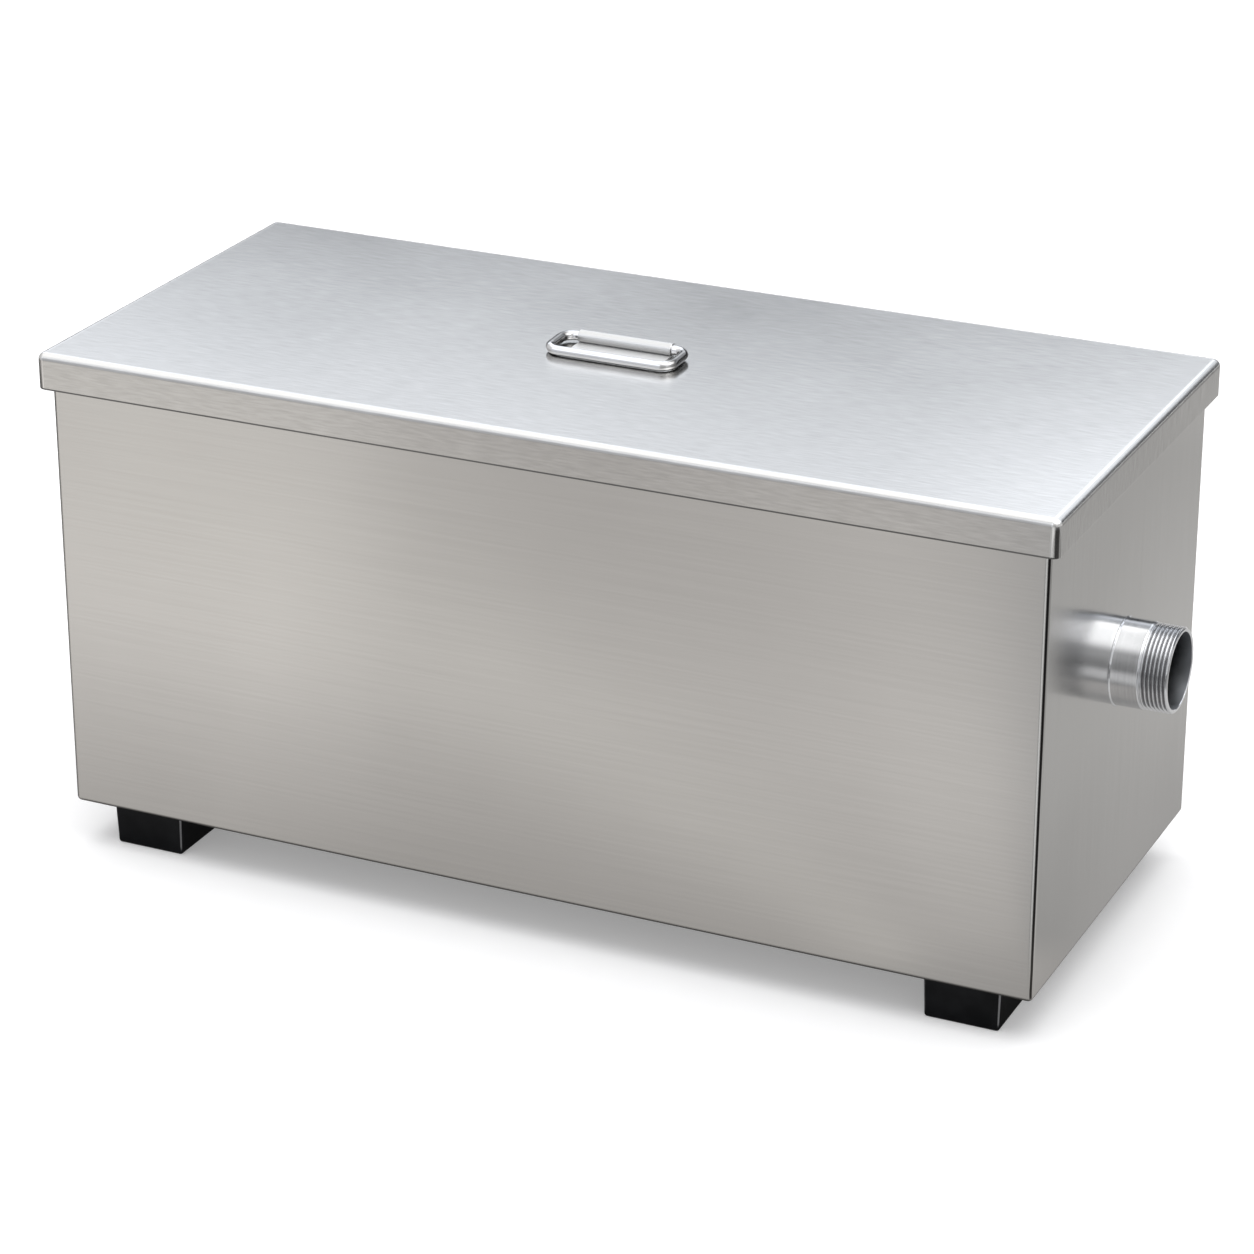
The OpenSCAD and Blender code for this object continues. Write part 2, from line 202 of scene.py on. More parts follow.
def stretched_noise(tree, place, stretch, detail):
    """Noise on a place whose axes are multiplied by stretch, in cells to the metre."""
    mapping = tree.nodes.new("ShaderNodeMapping")
    mapping.inputs["Scale"].default_value = stretch
    tree.links.new(place, mapping.inputs["Vector"])
    noise = tree.nodes.new("ShaderNodeTexNoise")
    noise.inputs["Scale"].default_value = 1.0
    noise.inputs["Detail"].default_value = detail
    tree.links.new(mapping.outputs["Vector"], noise.inputs["Vector"])
    return noise.outputs["Fac"]


def ranged(tree, value, start, end, low=0.0, high=1.0, way="LINEAR"):
    """Carries a value that runs from start to end evenly from low to high, and holds it there."""
    node = tree.nodes.new("ShaderNodeMapRange")
    node.interpolation_type = way
    for name, number in (("From Min", start), ("From Max", end), ("To Min", low), ("To Max", high)):
        node.inputs[name].default_value = number
    tree.links.new(value, node.inputs["Value"])
    return node.outputs["Result"]


def soft_step(tree, value, start, end, low=0.0, high=1.0):
    """The same with a soft start and end."""
    return ranged(tree, value, start, end, low, high, "SMOOTHSTEP")


def spread(tree, value, low, high):
    """Carries noise, which mostly lies between 0.3 and 0.7, to the range from low to high."""
    return ranged(tree, value, 0.3, 0.7, low, high)


def combine(tree, operation, first, second):
    """A sum, product or the like of two values."""
    node = tree.nodes.new("ShaderNodeMath")
    node.operation = operation
    link_in(tree, node.inputs[0], first)
    link_in(tree, node.inputs[1], second)
    return node.outputs["Value"]


def tinted(tree, share, dark, light):
    """A colour between dark and light, either of which may be another node's colour."""
    node = tree.nodes.new("ShaderNodeMix")
    node.data_type = "RGBA"
    colour_in = [socket for socket in node.inputs if socket.type == "RGBA"]
    for socket, colour in zip(colour_in, (dark, light)):
        link_in(tree, socket, (*colour, 1) if isinstance(colour, tuple) else colour)
    tree.links.new(share, node.inputs["Factor"])
    return [socket for socket in node.outputs if socket.type == "RGBA"][0]


def bumped(tree, height, strength, depth):
    """A normal that follows a height map of the given depth in metres."""
    node = tree.nodes.new("ShaderNodeBump")
    node.inputs["Strength"].default_value = strength
    node.inputs["Distance"].default_value = depth
    tree.links.new(height, node.inputs["Height"])
    return node.outputs["Normal"]


def new_finish(name):
    """A material with its node tree and its shader."""
    material = bpy.data.materials.new(name)
    material.use_nodes = True
    return material, material.node_tree, material.node_tree.nodes["Principled BSDF"]


def dress(tree, shader, colour, rough, normal=None, metal=True):
    """Joins a colour, a roughness and, where there is one, a normal to a shader."""
    tree.links.new(colour, shader.inputs["Base Color"])
    tree.links.new(rough, shader.inputs["Roughness"])
    if normal is not None:
        tree.links.new(normal, shader.inputs["Normal"])
    if metal:
        shader.inputs["Metallic"].default_value = 1.0


def object_place(tree):
    """The piece's own coordinates, in metres."""
    return tree.nodes.new("ShaderNodeTexCoord").outputs["Object"]


def own_map(tree):
    """The place that each point carries in the piece's own map."""
    node = tree.nodes.new("ShaderNodeUVMap")
    node.uv_map = FLAT_SHEET
    return node.outputs["UV"]


def axes_of(tree, place):
    """A place's X, Y and Z as three values."""
    node = tree.nodes.new("ShaderNodeSeparateXYZ")
    tree.links.new(place, node.inputs["Vector"])
    return node.outputs["X"], node.outputs["Y"], node.outputs["Z"]


# %% Brushed sheet
# Painted highlight: the lid's folds are painted brighter than the rest of the sheet
FOLD_HIGHLIGHT_STEEL = (0.80, 0.795, 0.785)
FOLD_HIGHLIGHT_FROM = (-1.2 * MM, 0.2 * MM)
FOLD_HIGHLIGHT_TO = (2.8 * MM, 4.4 * MM)


def painted_fold_highlight(tree, place, folds):
    """1 along the folds of a blank, each at its own distance from the middle line, and 0 elsewhere."""
    bands = []
    for axis, fold in zip(axes_of(tree, place), folds):
        away = combine(tree, "SUBTRACT", combine(tree, "ABSOLUTE", axis, 0), fold)
        bands.append(combine(tree, "MULTIPLY", soft_step(tree, away, *FOLD_HIGHLIGHT_FROM),
                             soft_step(tree, away, *FOLD_HIGHLIGHT_TO, 1, 0)))
    return combine(tree, "MAXIMUM", *bands)


# Dark seam down the upright corners; on the tank, at full share, it also serves as a painted dark reflection
SEAM_AND_REFLECTION_STEEL = (0.05, 0.048, 0.046)
# Tangents of the angle from a corner's middle line between which the seam comes in
SEAM_EDGE = (0.3, 0.2)
SEAM_FADE = 4 * MM


def seams_and_dark_reflection(tree, place, centre, start, share):
    """A share down the middle of the four upright corners, where a blank's sides meet past its fold.

    With p and q the ways out past a corner's centre along the two axes, (p - q) / (p + q) is the tangent of
    the angle from the corner's middle line."""
    over = [combine(tree, "SUBTRACT", combine(tree, "ABSOLUTE", axis, 0), middle)
            for axis, middle in zip(axes_of(tree, place), centre)]
    apart = combine(tree, "ABSOLUTE", combine(tree, "SUBTRACT", *over), 0)
    out = combine(tree, "MAXIMUM", combine(tree, "ADD", *over), 1 * MM)
    return combine(tree, "MULTIPLY", soft_step(tree, combine(tree, "DIVIDE", apart, out), *SEAM_EDGE),
                   soft_step(tree, out, start, start + SEAM_FADE, 0, share))


SCRATCHES = (25, 2600, 2600)
SCRATCH_DEPTH = 0.02 * MM
LONG_STREAKS = (7, 620, 620)
SHORT_STREAKS = (80, 700, 700)
SHEET_CLOUDS = (6, 6, 6)
GRAIN_STRETCH = 0.55
QUARTER_TURN = 0.25
# Tone of the painted shade on the handle's wire and clip
PAINTED_SHADE_TONE = (0.06, 0.056, 0.05)


def brushed_steel(name, dark, light, rough, streak_share, streak_cells=LONG_STREAKS, on_blank=True,
                  folds=None, seams=None, painted_shade=None):
    """Ground sheet: scratches and streaks along the blank's first axis, or along X where it has no blank.

    Where they are given, the folds get a painted highlight, the corner seams are dark, on the tank also as a
    painted dark reflection, and painted shade comes in by height."""
    material, tree, shader = new_finish(name)
    if on_blank:
        place = own_map(tree)
        grain = tree.nodes.new("ShaderNodeTangent")
        grain.direction_type = "UV_MAP"
        grain.uv_map = FLAT_SHEET
        tree.links.new(grain.outputs["Tangent"], shader.inputs["Tangent"])
        shader.inputs["Anisotropic"].default_value = GRAIN_STRETCH
        shader.inputs["Anisotropic Rotation"].default_value = QUARTER_TURN
    else:
        place = object_place(tree)
    scratches = stretched_noise(tree, place, SCRATCHES, 3)
    streaks = stretched_noise(tree, place, streak_cells, 3)
    clouds = stretched_noise(tree, object_place(tree), SHEET_CLOUDS, 4)
    tone = combine(tree, "ADD", spread(tree, streaks, 0, streak_share),
                   spread(tree, clouds, 0, 1 - streak_share))
    colour = tinted(tree, tone, dark, light)
    if folds is not None:
        colour = tinted(tree, painted_fold_highlight(tree, place, folds), colour, FOLD_HIGHLIGHT_STEEL)
    if seams is not None:
        colour = tinted(tree, seams_and_dark_reflection(tree, place, *seams), colour, SEAM_AND_REFLECTION_STEEL)
    # Painted shade: the colour darkens below a given height
    if painted_shade is not None:
        height = axes_of(tree, object_place(tree))[2]
        colour = tinted(tree, soft_step(tree, height, *painted_shade), colour, PAINTED_SHADE_TONE)
    haze = combine(tree, "ADD", spread(tree, scratches, rough - 0.03, rough + 0.03),
                   spread(tree, clouds, -0.02, 0.02))
    dress(tree, shader, colour, haze, bumped(tree, scratches, 0.12, SCRATCH_DEPTH))
    return material


inner_finish = brushed_steel("mill_sheet_steel", (0.44, 0.44, 0.44), (0.56, 0.56, 0.56), rough=0.36,
                             streak_share=0.4, on_blank=False)
print("inner finish:", inner_finish.name)

# %% [markdown]
# ## The lid
#
# The lid is a shallow pan: one sheet with its four edges folded down and its corners welded and ground
# smooth. Its long top folds catch the brightest light on the whole object, so they are true quarter
# circles here. The profile runs from the middle of the top over the fold, down the skirt, round the cut
# edge and back up the inside, and it is carried round the rectangle walk. The long skirts' cut edges are
# painted dark: a painted shadow line under the skirts.

# %% Lid shell
SHEET = 1.2 * MM
CUT_EDGE = 0.3 * MM
LID_FOLD = 4 * MM
LID_CORNER = 5 * MM
LID_SEAM_START = 9 * MM
LID_SEAM_SHARE = 0.75
SHEARED_RISE = 0.5 * MM
SIDE_STEPS = 16
CORNER_STEPS = 10
lid_low, lid_high = (np.array(corner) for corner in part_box("lid"))
lid_half = (lid_high - lid_low)[:2] / 2
sheet_walk = rectangle_walk(SIDE_STEPS, CORNER_STEPS)


def spine_rows(walk, half, z):
    """The line in the middle of a flat rectangle that its rings shrink to, as one ring without width."""
    return rings(walk, np.array([[half[0] - half[1], 0]]), np.zeros(1), np.array([z]))


def folded_lid():
    """The pan as one grid: spine, fold, skirt, cut edge, inner skirt, inner fold and inner spine."""
    top, edge_z, edge = lid_high[2], lid_low[2] + SHEET / 2, SHEET / 2
    profile = np.concatenate([
        arc(LID_FOLD, top - LID_FOLD, LID_FOLD, 0, 90),
        [[0, edge_z + SHEARED_RISE]],
        arc(edge, edge_z, edge, 90, 270, steps=12),
        arc(LID_FOLD, top - LID_FOLD, LID_FOLD - SHEET, 90, 0)])
    inset = profile[:, 0]
    shell = rings(sheet_walk, lid_half - inset[:, None], np.maximum(LID_CORNER - inset, 0), profile[:, 1])
    flat = flat_places(sheet_walk, lid_half - LID_FOLD, LID_CORNER - LID_FOLD, profile)
    outside = spine_rows(sheet_walk, lid_half, top)
    inside = spine_rows(sheet_walk, lid_half, top - SHEET)
    grid = np.concatenate([outside, shell, inside])
    return grid, np.concatenate([outside[..., :2], flat, inside[..., :2]])


# The lid's folds get a painted highlight; its corner seams are dark
lid_finish = brushed_steel("brushed_lid_steel", (0.49, 0.485, 0.475), (0.63, 0.625, 0.615), rough=0.22,
                           streak_share=0.6, streak_cells=SHORT_STREAKS, folds=lid_half - LID_FOLD,
                           seams=(lid_half - LID_CORNER, LID_SEAM_START, LID_SEAM_SHARE))
lid = add_piece("lid_shell", [folded_lid()], "lid", lid_finish)

# %% Painted shadow line on the long skirts' cut edges
def middles(piece):
    """The middle of every face of a piece, one row each."""
    places = np.zeros(3 * len(piece.data.polygons))
    piece.data.polygons.foreach_get("center", places)
    return places.reshape(-1, 3)


def refinish(piece, material, chosen):
    """Gives the chosen faces of a piece another finish, and leaves the rest as they are."""
    index = np.zeros(len(piece.data.polygons), np.int32)
    piece.data.polygons.foreach_get("material_index", index)
    index[chosen] = len(piece.data.materials)
    piece.data.materials.append(material)
    piece.data.polygons.foreach_set("material_index", index)
    print(piece.name, "faces in", material.name + ":", int(chosen.sum()))


# The cut edges of the long skirts are painted dark as a painted shadow line
skirt_shadow_finish = brushed_steel("sheared_edge_steel", (0.12, 0.12, 0.12), (0.18, 0.178, 0.175), rough=0.45,
                               streak_share=0.5)
lid_middles = middles(lid)
on_edge = lid_middles[:, 2] < lid_low[2] + SHEET / 2 + SHEARED_RISE
on_long_side = np.abs(lid_middles[:, 1]) > lid_half[1] - SHEET
refinish(lid, skirt_shadow_finish, on_edge & on_long_side)

# %% [markdown]
# ## The tank
#
# The tank is folded the same way, with a floor instead of a top, and a rim turned inwards round its mouth
# for the seal to sit on. Its end walls have a round hole each for a pipe stub. A hole doesn't fit a grid
# of rings, so those two walls are left out of the walk and filled with a ruled surface: straight lines
# from the wall's outline to the hole's circle.

# %% Tank profile
TANK_FOLD = 3 * MM
RIM_WIDTH = 15 * MM
MOUTH_CORNER = 3 * MM
RISE_STEPS = 16
tank_low, tank_high = (np.array(corner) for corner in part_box("tank"))
tank_half = (tank_high - tank_low)[:2] / 2
wall_foot = tank_low[2] + TANK_FOLD
wall_head = tank_high[2] - TANK_FOLD


def upright(inset, start, end):
    """The levels of a wall between its folds, without the ends, as (inset, height) rows."""
    levels = np.linspace(start, end, RISE_STEPS + 1)[1:-1]
    return np.stack([np.full(levels.shape, inset), levels], axis=-1)


def tank_profile():
    """Floor fold, wall, rim fold, the mouth's cut edge, and the same way back inside, with the row numbers
    where the outer wall starts and ends and where the inner wall starts and ends."""
    mouth = RIM_WIDTH - CUT_EDGE
    rim_top = tank_high[2]
    parts = [
        arc(TANK_FOLD, wall_foot, TANK_FOLD, 180, 90),
        upright(0, wall_foot, wall_head),
        arc(TANK_FOLD, wall_head, TANK_FOLD, 90, 0),
        arc(mouth, rim_top - CUT_EDGE, CUT_EDGE, 0, -90, steps=3),
        arc(mouth, rim_top - SHEET + CUT_EDGE, CUT_EDGE, -90, -180, steps=3),
        arc(TANK_FOLD, wall_head, TANK_FOLD - SHEET, 0, 90),
        upright(SHEET, wall_head, wall_foot),
        arc(TANK_FOLD, wall_foot, TANK_FOLD - SHEET, 90, 180)]
    ends = np.cumsum([len(part) for part in parts])
    walls = (ends[0] - 1, ends[1], ends[5] - 1, ends[6])
    return np.concatenate(parts), walls


# %% Tank shell
STUB_HOLE = 24.45 * MM
outlet_z = float(frame["record"]["mounts"][0]["pos_m"][2])
inlet_z = float(frame["record"]["mounts"][1]["pos_m"][2])


def end_wall(shell, flat, rows, first, hole_z):
    """Ruled surface between an end wall's outline, read off the shell's own points, and the hole's circle."""
    start, end = rows
    last = first + SIDE_STEPS
    loop = [(start, slice(first, last)), (slice(start, end), last),
            (end, slice(last, first, -1)), (slice(end, start, -1), first)]
    outline = np.concatenate([shell[part] for part in loop] + [shell[start, first:first + 1]])
    places = np.concatenate([flat[part] for part in loop] + [flat[start, first:first + 1]])
    angle = np.arctan2(outline[:, 2] - hole_z, outline[:, 1])
    circle = outline.copy()
    circle[:, 1] = STUB_HOLE * np.cos(angle)
    circle[:, 2] = hole_z + STUB_HOLE * np.sin(angle)
    shift = circle - outline
    outwards = np.sign(outline[:, 0])
    circle_places = places + np.stack([outwards * shift[:, 2], shift[:, 1]], axis=-1)
    return np.stack([outline, circle]), np.stack([places, circle_places])


def folded_tank():
    """The tank's rings, with its end walls ruled round the stub holes."""
    profile, walls = tank_profile()
    inset = profile[:, 0]
    at_mouth = inset > RIM_WIDTH / 2
    radius = np.where(at_mouth, MOUTH_CORNER, np.maximum(TANK_FOLD - inset, 0))
    shell = rings(sheet_walk, tank_half - inset[:, None], radius, profile[:, 1])
    flat = flat_places(sheet_walk, tank_half - TANK_FOLD, 0, profile)
    under = spine_rows(sheet_walk, tank_half, tank_low[2])
    inside = spine_rows(sheet_walk, tank_half, tank_low[2] + SHEET)
    patches = [(np.concatenate([under, shell[:1]]), np.concatenate([under, shell[:1]])[..., :2]),
               (np.concatenate([shell[-1:], inside]), np.concatenate([shell[-1:], inside])[..., :2])]
    bands = [(0, walls[0]), (walls[1], walls[2]), (walls[3], len(shell) - 1)]
    patches += [(shell[start:end + 1], flat[start:end + 1]) for start, end in bands]
    quarter = SIDE_STEPS + CORNER_STEPS
    long_sides = [slice(SIDE_STEPS, 2 * quarter + 1), slice(2 * quarter + SIDE_STEPS, 4 * quarter + 1)]
    for start, end in (walls[:2], walls[2:]):
        patches += [(shell[start:end + 1, side], flat[start:end + 1, side]) for side in long_sides]
    for first, hole_z in ((0, outlet_z), (2 * quarter, inlet_z)):
        outer = end_wall(shell, flat, walls[:2], first, hole_z)
        inner = end_wall(shell[::-1], flat[::-1], [len(shell) - 1 - row for row in walls[:1:-1]],
                         first, hole_z)
        patches += [outer, inner]
        patches.append((np.stack([outer[0][1], inner[0][1]]), np.stack([outer[1][1], inner[1][1]])))
    return patches


# The tank's corner seams, at full share, are a weld seam and a painted dark reflection down the corners
sheet_finish = brushed_steel("brushed_sheet_steel", (0.53, 0.525, 0.515), (0.59, 0.585, 0.575), rough=0.17,
                             streak_share=0.4, seams=(tank_half - TANK_FOLD, TANK_FOLD, 1))
add_piece("tank_shell", folded_tank(), "tank", sheet_finish)

# %% [markdown]
# ## The pipe stubs
#
# A stub is a short length of pipe with a screw thread cut into its outer end, pushed through the wall and
# welded round. The thread is what the eye finds first, so it is a real helix: the radius is a function of
# the way along the pipe and the angle round it, and the groove moves on by one pitch for each turn. The
# weld's ripples are a small wave in the same radius. The grooves are darkened with painted shade, and the
# bore with painted shade that deepens on the way in.

# %% Turned pipe finish
def turned_steel():
    """Pipe steel: fine rings from the lathe, which depend on the way along the pipe, under slow clouds."""
    material, tree, shader = new_finish("turned_pipe_steel")
    place = object_place(tree)
    lathe_rings = stretched_noise(tree, place, (2600, 18, 18), 3)
    clouds = stretched_noise(tree, place, (40, 40, 40), 3)
    tone = combine(tree, "ADD", spread(tree, lathe_rings, 0, 0.4), spread(tree, clouds, 0, 0.6))
    haze = combine(tree, "ADD", spread(tree, lathe_rings, 0.12, 0.19), spread(tree, clouds, -0.03, 0.03))
    dress(tree, shader, tinted(tree, tone, (0.68, 0.69, 0.71), (0.86, 0.87, 0.89)), haze,
          bumped(tree, lathe_rings, 0.1, SCRATCH_DEPTH))
    return material


pipe_finish = turned_steel()
print("pipe finish:", pipe_finish.name)

# %% Threaded stubs
PIPE_RADIUS = 24.15 * MM
BORE_RADIUS = 21.25 * MM
THREAD_CREST = 23.9 * MM
THREAD_PITCH = 25.4 * MM / 11
THREAD_DEPTH = 1.45 * MM
THREAD_LENGTH = 17 * MM
RUN_OUT = 2.5 * MM
STUB_OUT = 32 * MM
OUTLET_IN = 5 * MM
INLET_IN = 12 * MM
TIP_CHAMFER = 1 * MM
WELD_LEG = 0.8 * MM
WELD_RIPPLES = 56
WELD_RIPPLE_HEIGHT = 0.12 * MM
ROUND_STEPS = 160
ROWS_PER_PITCH = 30


def smooth(value):
    """A soft step from 0 to 1."""
    value = np.clip(value, 0, 1)
    return value * value * (3 - 2 * value)


def weld_bead(along, angle):
    """Rounded bead on both faces of the wall, with ripples round it; zero away from the wall."""
    away = np.maximum(along, -SHEET - along)
    reach = np.clip(away / WELD_LEG, 0, 1)
    ripple = WELD_RIPPLE_HEIGHT * np.sin(WELD_RIPPLES * angle)
    return (WELD_LEG - WELD_RIPPLE_HEIGHT + ripple) * np.sqrt(1 - reach) * np.cos(reach * math.pi / 2)


def outer_radius(along, angle, hand):
    """Pipe plus weld, then the crest minus a groove that turns with the angle; both begin softly."""
    start = STUB_OUT - THREAD_LENGTH
    turn = along / THREAD_PITCH - hand * angle / (2 * math.pi)
    ridge = smooth(2 * np.abs(turn - np.floor(turn) - 0.5))
    cut_in = smooth((along - start) / RUN_OUT)
    thread = PIPE_RADIUS - cut_in * (PIPE_RADIUS - THREAD_CREST + THREAD_DEPTH * (1 - ridge))
    plain = PIPE_RADIUS + weld_bead(along, angle)
    radius = np.where(along < start, plain, thread)
    return np.minimum(radius, THREAD_CREST - TIP_CHAMFER + np.maximum(STUB_OUT - along, -along))


def threaded_stub(wall_x, centre_z, hand, length_in):
    """The stub as a grid, rows along the pipe and columns round it: down the outside, back up the bore."""
    thread_rows = int(THREAD_LENGTH / THREAD_PITCH * ROWS_PER_PITCH)
    start = STUB_OUT - THREAD_LENGTH
    inner_end = -SHEET - length_in
    along = np.concatenate([
        np.linspace(inner_end, -SHEET - WELD_LEG, 6),
        np.linspace(-SHEET - WELD_LEG, -SHEET, 8)[1:],
        np.linspace(0, WELD_LEG, 10),
        np.linspace(WELD_LEG, start, 8)[1:],
        np.linspace(start, STUB_OUT, thread_rows)[1:]])
    angle = np.linspace(0, 2 * math.pi, ROUND_STEPS + 1)
    outside = outer_radius(along[:, None], angle[None, :], hand)
    bore_along = np.array([STUB_OUT, STUB_OUT - CUT_EDGE, inner_end + CUT_EDGE, inner_end])
    bore_radius = BORE_RADIUS + np.array([CUT_EDGE, 0, 0, CUT_EDGE])
    inside = np.broadcast_to(bore_radius[:, None], (4, len(angle)))
    radius = np.concatenate([outside, inside, outside[:1]])
    along = np.concatenate([along, bore_along, along[:1]])
    x = np.broadcast_to(wall_x + hand * along[:, None], radius.shape)
    grid = np.stack([x, radius * np.cos(angle), centre_z + radius * np.sin(angle)], axis=-1)
    flat = np.stack([np.broadcast_to(along[:, None], radius.shape), radius * angle], axis=-1)
    return grid, flat


outlet = add_piece("outlet_pipe", [threaded_stub(tank_high[0], outlet_z, 1, OUTLET_IN)], "outlet_stub",
                   pipe_finish)
inlet = add_piece("inlet_pipe", [threaded_stub(tank_low[0], inlet_z, -1, INLET_IN)], "inlet_stub",
                  pipe_finish)

# %% Bore, faced tip and grooves of the stubs
# Length at the tip over which the bore brightens out of its painted shade towards the mouth
LIT_MOUTH = 12 * MM
# Shares of the thread's depth between which the grooves are painted with shade
GROOVE_FROM = 0.7
GROOVE_TO = 1.05


def shaded_bore():
    """Inside of the pipe: drawn steel, lighter at the mouth and darkened with painted shade on the way in."""
    material, tree, shader = new_finish("drained_bore_steel")
    clouds = stretched_noise(tree, object_place(tree), (60, 60, 60), 3)
    along = combine(tree, "ADD", axes_of(tree, own_map(tree))[0], spread(tree, clouds, -1 * MM, 1 * MM))
    mouth_light = soft_step(tree, along, STUB_OUT - LIT_MOUTH, STUB_OUT)
    dress(tree, shader, tinted(tree, mouth_light, (0.085, 0.088, 0.094), (0.5, 0.52, 0.55)),
          spread(tree, clouds, 0.36, 0.46))
    return material


bore_finish = shaded_bore()
# Painted shade: the thread's grooves are painted darker than its crests
groove_shade_finish = brushed_steel("oiled_groove_steel", (0.3, 0.3, 0.31), (0.38, 0.38, 0.39), rough=0.3,
                              streak_share=0.5, on_blank=False)
faced_finish = brushed_steel("faced_tip_steel", (0.86, 0.87, 0.89), (0.96, 0.97, 0.99), rough=0.2,
                             streak_share=0.5, on_blank=False)
for stub, centre_z in ((outlet, outlet_z), (inlet, inlet_z)):
    stub_middles = middles(stub)
    from_axis = np.hypot(stub_middles[:, 1], stub_middles[:, 2] - centre_z)
    along = np.abs(stub_middles[:, 0]) - tank_half[0]
    refinish(stub, bore_finish, from_axis < BORE_RADIUS + CUT_EDGE / 4)
    refinish(stub, faced_finish, along > STUB_OUT - CUT_EDGE * 0.7)
    sunk = (THREAD_CREST - from_axis) / THREAD_DEPTH
    in_thread = along > STUB_OUT - THREAD_LENGTH
    refinish(stub, groove_shade_finish, in_thread & (sunk > GROOVE_FROM) & (sunk < GROOVE_TO))

# %% [markdown]
# ## The ring handle and its clip
#
# The ring is one piece of polished wire bent into a closed loop. It is a circle carried round the same
# rectangle walk: outwards along the facing and up along the ring's own normal, then tipped about its
# pivot so that the front bar comes down to the lid. The clip is a strip of sheet rolled round the back bar,
# with a flat tail under the ring. The ring's underside and short sides are darkened with painted shade
# and painted dark reflection, the clip's lower half with painted shade, and the clip's tail is a lighter
# copy of the clip's steel, painted light. Each point of the ring carries how far it belongs to a short
# side and its height on the wire, both from 0 to 1.

# %% Polished steel
# Where the wire is darkened: painted shade on its underside, painted dark reflection on its short sides
SHADE_BELOW = (0.13, 0.03)
SHADE_AT_SIDES = (0.6, 1, 0, 0.85)


def polished_steel(name, with_painted_shade):
    """Bright drawn wire: nearly a mirror with faint clouds, darkened where asked with painted shade below and
    painted dark reflection at the sides.
    """
    material, tree, shader = new_finish(name)
    clouds = stretched_noise(tree, object_place(tree), (60, 60, 60), 2)
    colour = tinted(tree, spread(tree, clouds, 0, 1), (0.82, 0.82, 0.83), (0.9, 0.9, 0.91))
    if with_painted_shade:
        side, height, _ = axes_of(tree, own_map(tree))
        painted_shade = combine(tree, "MAXIMUM", soft_step(tree, height, *SHADE_BELOW),
                       soft_step(tree, side, *SHADE_AT_SIDES))
        colour = tinted(tree, painted_shade, colour, PAINTED_SHADE_TONE)
    dress(tree, shader, colour, spread(tree, clouds, 0.08, 0.13))
    return material


bright_finish = polished_steel("polished_steel", False)
# The handle's wire gets painted shade below and painted dark reflection at its short sides
handle_finish = polished_steel("polished_handle_steel", True)
print("bright finishes:", bright_finish.name, handle_finish.name)

# %% Ring of wire
RING_LENGTH = 80 * MM
RING_WIDTH = 31 * MM
WIRE = 5.5 * MM
RING_BEND = 7.5 * MM
CLIP_SHEET = 1 * MM
PIVOT_ROOM = 0.08 * MM
RING_LIFT = 0.3 * MM
WIRE_STEPS = 28
ring_reach = RING_WIDTH - WIRE
pivot = np.array(frame["record"]["behaviour"]["joints"][1]["pos_m"])
ring_tilt = math.asin((CLIP_SHEET + PIVOT_ROOM - RING_LIFT) / ring_reach)


def bent_ring():
    """Tube round the rectangle walk: middle of the wire + r (cos a times facing + sin a times up), tipped."""
    centre, facing = rectangle_walk(side_steps=6, corner_steps=18)
    half_l = (RING_LENGTH - WIRE) / 2
    half_w = ring_reach / 2
    angle = np.linspace(0, 2 * math.pi, WIRE_STEPS + 1)[None, :]
    out = RING_BEND + WIRE / 2 * np.cos(angle)
    x = (half_l - RING_BEND) * centre.real[:, None] + out * facing.real[:, None]
    y = (half_w - RING_BEND) * centre.imag[:, None] + out * facing.imag[:, None] - half_w
    up = np.broadcast_to(WIRE / 2 * np.sin(angle), x.shape)
    tipped_y = y * math.cos(ring_tilt) - up * math.sin(ring_tilt)
    tipped_z = y * math.sin(ring_tilt) + up * math.cos(ring_tilt)
    side = np.broadcast_to(np.abs(facing.real)[:, None], x.shape)
    return np.stack([x, tipped_y, tipped_z], axis=-1) + pivot, np.stack([side, up / WIRE + 0.5], axis=-1)


add_piece("ring_wire", [bent_ring()], "handle_ring", handle_finish)

# %% Rolled clip
CLIP_SLIT = math.radians(50)
CLIP_EDGE = 0.2 * MM
# Heights round the pivot over which the clip's roll is darkened with painted shade, and how far
SHADE_START = 1.1 * MM
SHADE_FULL = -0.9 * MM
SHADE_SHARE = 0.5
clip_low, clip_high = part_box("handle_clip")
clip_tail = pivot[1] - clip_low[1]


def rolled_clip():
    """The strip's middle line runs along the tail and round the wire; both faces lie half a sheet from it."""
    roll = WIRE / 2 + PIVOT_ROOM + CLIP_SHEET / 2
    turn = np.linspace(-math.pi / 2, 1.5 * math.pi - CLIP_SLIT, 49)
    tail_y = np.linspace(-clip_tail, 0, 5)[:-1]
    line = np.concatenate([np.stack([tail_y, np.full(4, -roll)], axis=-1),
                           roll * np.stack([np.cos(turn), np.sin(turn)], axis=-1)])
    out = np.concatenate([np.tile([[0.0, -1.0]], (4, 1)), np.stack([np.cos(turn), np.sin(turn)], axis=-1)])
    outer, inner = line + out * CLIP_SHEET / 2, line - out * CLIP_SHEET / 2
    loop = np.concatenate([outer, inner[::-1], outer[:1]])
    ends = np.array([clip_low[0], clip_high[0]])

    def at_x(x, profile):
        columns = np.broadcast_to(np.asarray(x, float)[..., None], profile.shape[:-1] + (1,))
        return np.concatenate([columns, profile + pivot[1:]], axis=-1)

    skin = np.stack([at_x(end, loop) for end in ends])
    caps = [at_x(end, np.stack([outer, inner])) for end in ends]
    return [(grid, grid[..., :2]) for grid in [skin, *caps]]


